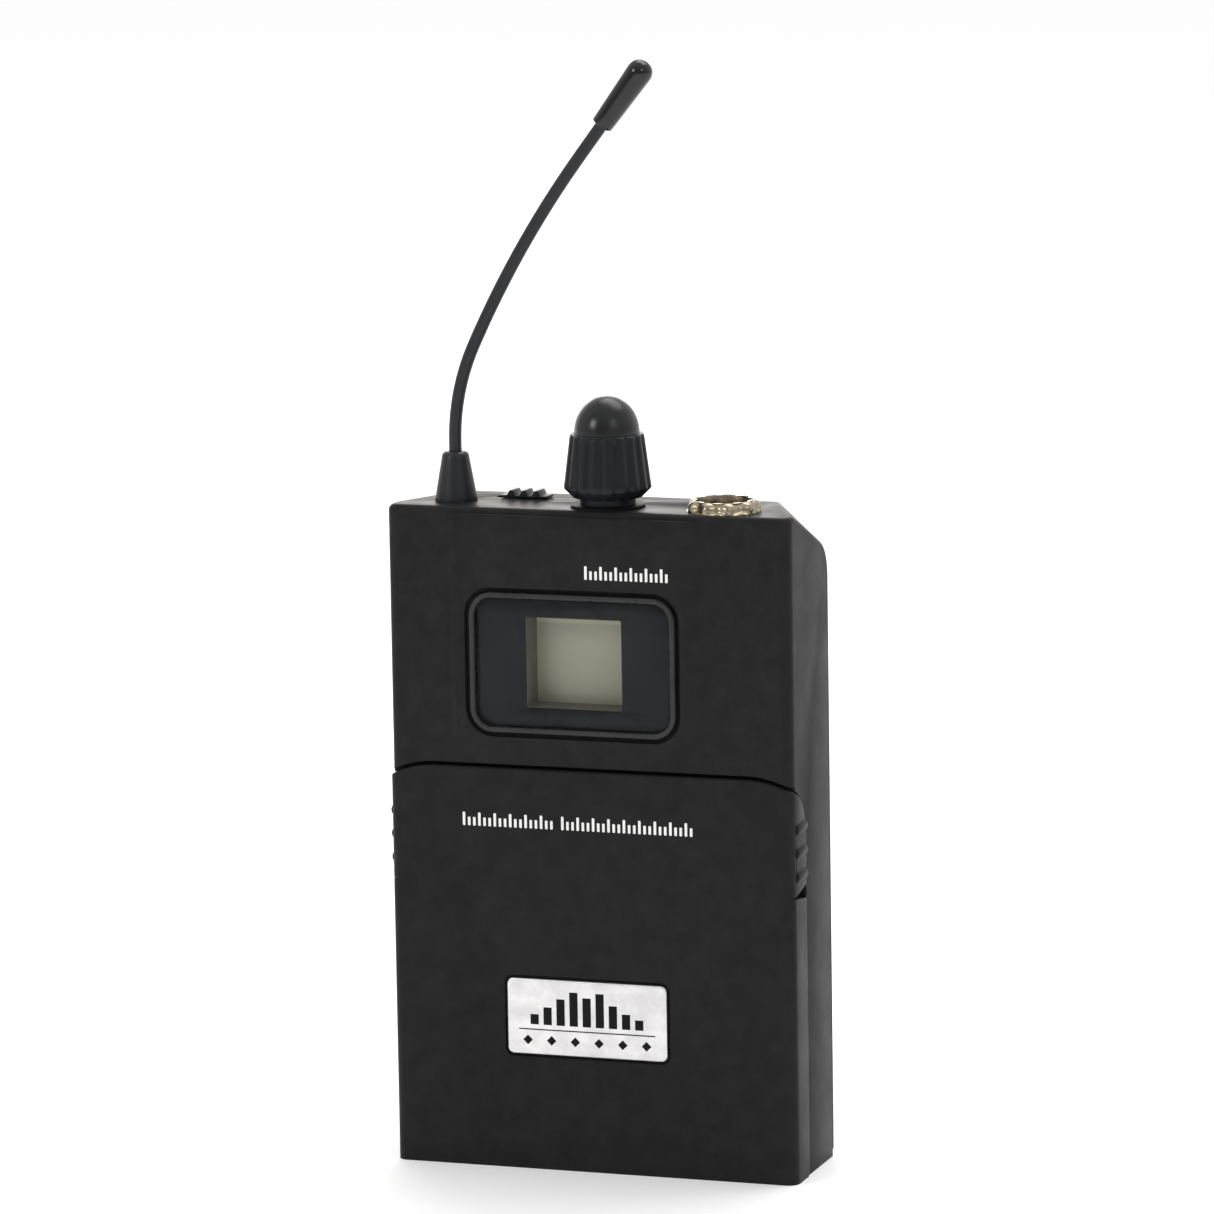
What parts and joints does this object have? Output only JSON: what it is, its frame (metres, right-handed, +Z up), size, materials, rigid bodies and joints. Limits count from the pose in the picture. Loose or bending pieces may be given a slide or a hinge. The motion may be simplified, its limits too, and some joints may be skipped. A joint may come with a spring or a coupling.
{
  "type": "wireless bodypack transmitter",
  "caption": "Belt-worn wireless microphone transmitter with a display, flexible whip antenna, volume knob, slide switch, locking socket, hinged battery door and belt clip.",
  "frame": {"origin": "centre of the housing's flat underside", "axes": "+X to the right of someone facing the display, +Y to the back where the belt clip is, +Z up towards the antenna"},
  "size_m": [0.0668, 0.0292, 0.1736],
  "materials": {
    "housing_shell": "fine moulded texture, charcoal",
    "tray_plastic": "black moulded plastic",
    "switch_plastic": "black moulded plastic",
    "knob_plastic": "satin black",
    "button_grey": "light grey caps",
    "cell_jacket": "printed shrink jacket over a steel can",
    "spring_steel": "plated spring steel",
    "steel": "plain steel",
    "black_screws": "black oxide screws",
    "tinned_steel": "tinned sheet",
    "brass_contact": "gold-plated contacts",
    "circuit_board": "green solder mask",
    "bezel_gloss": "glossy charcoal ring",
    "clear_window": "clear window",
    "black_mask": "black print behind the window",
    "lcd_surround": "pale grey-green light guide",
    "lcd_glass": "blank grey-green display",
    "antenna_rubber": "black flexible sheath",
    "antenna_cap": "glossy black end cap",
    "dome_gloss": "glossy smoked dome",
    "socket_nickel": "warm nickel plate",
    "clip_steel": "black coated spring steel",
    "badge_silver": "satin silver plate",
    "badge_ink": "black print"
  },
  "bodies": {
    "housing": {"main_housing": "housing_shell", "rear_cover": "housing_shell", "case_screws": "black_screws", "hinge_pins": "steel", "battery_tray": "tray_plastic", "battery_cell_left": "cell_jacket", "battery_cell_right": "cell_jacket", "battery_springs": "spring_steel", "battery_contacts": "spring_steel", "control_panel": "tray_plastic", "control_board": "circuit_board", "tact_switches": "switch_plastic", "display_bezel": "bezel_gloss", "display_window": "clear_window", "display_mask": "black_mask", "lcd_frame": "lcd_surround", "lcd_panel": "lcd_glass", "lcd_backlight": "lcd_surround", "main_board": "circuit_board", "shield_can": "tinned_steel", "board_screws": "steel", "antenna_terminal": "brass_contact", "antenna_boot": "antenna_rubber", "antenna_whip": "antenna_rubber", "antenna_tip": "antenna_cap", "knob_washer": "knob_plastic", "pot_nut": "knob_plastic", "pot_body": "tinned_steel", "switch_body": "tinned_steel", "socket_ring": "socket_nickel", "socket_shell": "socket_nickel", "socket_insert": "switch_plastic", "socket_pins": "brass_contact", "clip_bracket": "clip_steel", "clip_pin": "steel", "clip_screws": "black_screws", "clip_spring": "spring_steel"},
    "battery_door": {"battery_door": "housing_shell", "badge_plate": "badge_silver", "badge_emblem": "badge_ink"},
    "release_tab_left": {"release_tab_left": "housing_shell"},
    "release_tab_right": {"release_tab_right": "housing_shell"},
    "volume_knob": {"knob_skirt": "knob_plastic", "knob_dome": "dome_gloss", "pot_shaft": "steel"},
    "power_switch": {"switch_slider": "knob_plastic"},
    "set_button_up": {"set_button_up": "button_grey"},
    "set_button_down": {"set_button_down": "button_grey"},
    "belt_clip": {"belt_clip": "clip_steel"}
  },
  "joints": [
    {"name": "door_hinge", "type": "hinge", "parent": "housing", "child": "battery_door", "pos_m": [0, -0.0072, 0.002], "axis": [1, 0, 0], "range_deg": [0, 80]},
    {"name": "tab_left_slide", "type": "slide", "parent": "battery_door", "child": "release_tab_left", "axis": [1, 0, 0], "range_m": [0, 0.001], "stiffness_N_per_m": 400, "springref_m": -0.001},
    {"name": "tab_right_slide", "type": "slide", "parent": "battery_door", "child": "release_tab_right", "axis": [-1, 0, 0], "range_m": [0, 0.001], "stiffness_N_per_m": 400, "springref_m": -0.001},
    {"name": "knob_turn", "type": "hinge", "parent": "housing", "child": "volume_knob", "pos_m": [0.0016, -0.004, 0.11], "axis": [0, 0, 1], "range_deg": [-150, 150]},
    {"name": "switch_slide", "type": "slide", "parent": "housing", "child": "power_switch", "axis": [-1, 0, 0], "range_m": [0, 0.003]},
    {"name": "button_up_press", "type": "slide", "parent": "housing", "child": "set_button_up", "axis": [0, 1, 0], "range_m": [0, 0.0004], "stiffness_N_per_m": 400, "springref_m": -0.0005},
    {"name": "button_down_press", "type": "slide", "parent": "housing", "child": "set_button_down", "axis": [0, 1, 0], "range_m": [0, 0.0004], "stiffness_N_per_m": 400, "springref_m": -0.0005},
    {"name": "clip_hinge", "type": "hinge", "parent": "housing", "child": "belt_clip", "pos_m": [0, 0.0152, 0.088], "axis": [1, 0, 0], "range_deg": [0, 12], "stiffness_Nm_per_rad": 0.3, "springref_deg": -11.46}
  ]
}
